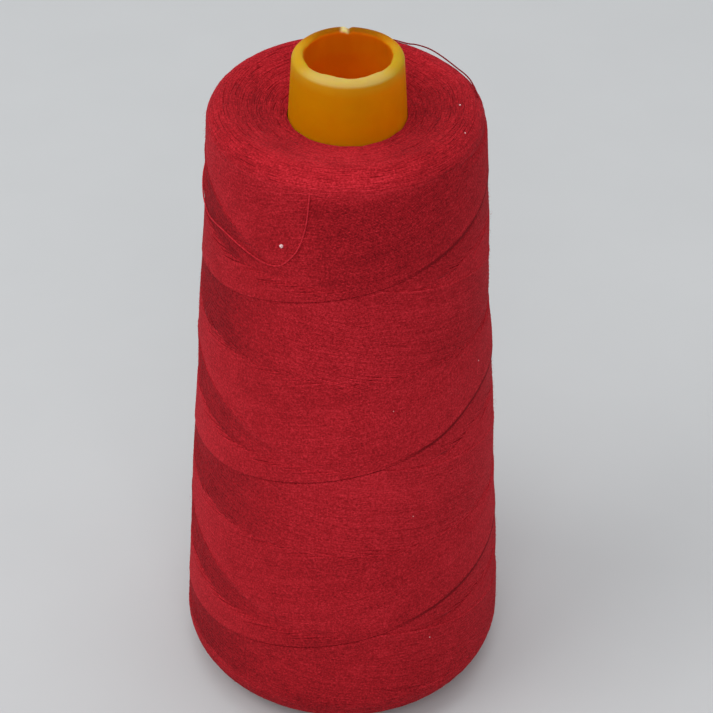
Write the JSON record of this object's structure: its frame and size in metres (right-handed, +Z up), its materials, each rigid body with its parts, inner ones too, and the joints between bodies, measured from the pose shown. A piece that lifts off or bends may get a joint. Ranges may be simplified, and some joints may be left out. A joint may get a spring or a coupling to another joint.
{
  "type": "cone of sewing thread",
  "caption": "Cross-wound cone of red sewing thread on a hollow, tapered plastic tube that stands on its foot or drops over a spindle.",
  "frame": {"origin": "centre of the foot, on the surface that the cone stands on", "axes": "+Z up along the tube's axis towards the nose; -Y is the side with the slack stretch at its upper left"},
  "size_m": [0.0747, 0.0753, 0.165],
  "materials": {
    "tube_plastic": "slightly translucent moulded plastic, pale and worn on the nose lip",
    "red_thread": "spun polyester thread, matt and slightly hairy"
  },
  "bodies": {
    "root": {"cone_tube": "tube_plastic", "wound_thread": "red_thread", "front_slack_thread": "red_thread", "rear_loose_thread": "red_thread"}
  },
  "joints": []
}
